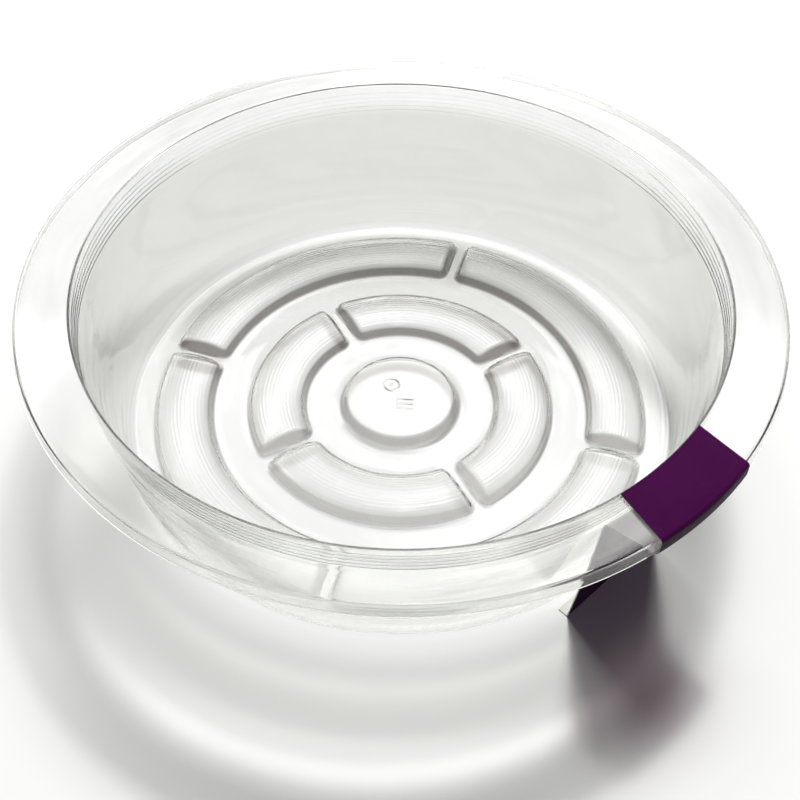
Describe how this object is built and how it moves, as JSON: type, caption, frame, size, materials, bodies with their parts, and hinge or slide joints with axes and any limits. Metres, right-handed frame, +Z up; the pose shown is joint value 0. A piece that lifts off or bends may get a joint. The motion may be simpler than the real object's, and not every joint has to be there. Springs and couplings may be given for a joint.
{
  "type": "clear plastic plant tray",
  "caption": "Round deep clear plastic plant tray with a wide flat rim, curved raised ridges in its base and a folded card label hooked over the rim.",
  "frame": {"origin": "centre of the tray's underside, on the surface it stands on", "axes": "+Z up; +X to the right and +Y away from someone who faces the tray with the label at front right"},
  "size_m": [0.25, 0.25, 0.0627],
  "materials": {
    "clear_plastic": "clear thermoformed sheet, glossy",
    "purple_card": "satin printed outside, bare white inside and at its cut edges"
  },
  "bodies": {
    "tray": {"tray_shell": "clear_plastic"},
    "label": {"rim_label": "purple_card"}
  },
  "joints": [
    {"name": "label_pull", "type": "slide", "parent": "tray", "child": "label", "axis": [0.7071, -0.7071, 0], "range_m": [0, 0.05]}
  ]
}
